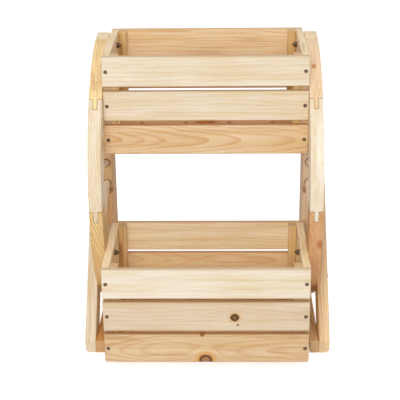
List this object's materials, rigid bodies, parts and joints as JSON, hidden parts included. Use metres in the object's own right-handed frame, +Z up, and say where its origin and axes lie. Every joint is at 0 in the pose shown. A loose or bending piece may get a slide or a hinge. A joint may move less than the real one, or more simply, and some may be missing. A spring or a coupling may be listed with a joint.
{
  "type": "wagon wheel plant stand",
  "caption": "Wooden two-level plant stand: slatted planters stepped between spoked half wheels, on leaning front legs and floor rails.",
  "frame": {"origin": "on the floor, at the bottom centre of the whole stand's bounding box", "axes": "+Z up; the planters' fronts face -Y; +X to the right as seen from the front"},
  "size_m": [0.5638, 0.449, 0.6685],
  "materials": {
    "frame_wood": "bare sawn fir",
    "slat_wood": "bare planed fir",
    "bolt_steel": "dull dark steel"
  },
  "bodies": {
    "root": {"bolt_leg_left": "bolt_steel", "bolt_leg_right": "bolt_steel", "bolt_lower_front_left": "bolt_steel", "bolt_lower_front_right": "bolt_steel", "bolt_upper_front_left": "bolt_steel", "bolt_upper_front_right": "bolt_steel", "bolt_upper_rear_left": "bolt_steel", "bolt_upper_rear_right": "bolt_steel", "floor_rail_left": "frame_wood", "floor_rail_right": "frame_wood", "front_leg_left": "frame_wood", "front_leg_right": "frame_wood", "hub_left": "frame_wood", "hub_right": "frame_wood", "lower_back_slat_1": "slat_wood", "lower_back_slat_2": "slat_wood", "lower_back_slat_3": "slat_wood", "lower_corner_post_back_left": "slat_wood", "lower_corner_post_back_right": "slat_wood", "lower_corner_post_front_left": "slat_wood", "lower_corner_post_front_right": "slat_wood", "lower_floor_panel": "slat_wood", "lower_front_slat_1": "slat_wood", "lower_front_slat_2": "slat_wood", "lower_front_slat_3": "slat_wood", "lower_side_board_left": "slat_wood", "lower_side_board_right": "slat_wood", "rim_bottom_left": "frame_wood", "rim_bottom_right": "frame_wood", "rim_front_lower_left": "frame_wood", "rim_front_lower_right": "frame_wood", "rim_front_upper_left": "frame_wood", "rim_front_upper_right": "frame_wood", "rim_top_left": "frame_wood", "rim_top_right": "frame_wood", "spoke_bottom_left": "frame_wood", "spoke_bottom_right": "frame_wood", "spoke_front_lower_left": "frame_wood", "spoke_front_lower_right": "frame_wood", "spoke_front_upper_left": "frame_wood", "spoke_front_upper_right": "frame_wood", "spoke_top_left": "frame_wood", "spoke_top_right": "frame_wood", "upper_back_slat_1": "slat_wood", "upper_back_slat_2": "slat_wood", "upper_back_slat_3": "slat_wood", "upper_corner_post_back_left": "slat_wood", "upper_corner_post_back_right": "slat_wood", "upper_corner_post_front_left": "slat_wood", "upper_corner_post_front_right": "slat_wood", "upper_floor_panel": "slat_wood", "upper_front_slat_1": "slat_wood", "upper_front_slat_2": "slat_wood", "upper_front_slat_3": "slat_wood", "upper_side_board_left": "slat_wood", "upper_side_board_right": "slat_wood", "upright_lower_left": "frame_wood", "upright_lower_right": "frame_wood", "upright_upper_left": "frame_wood", "upright_upper_right": "frame_wood"}
  },
  "joints": []
}
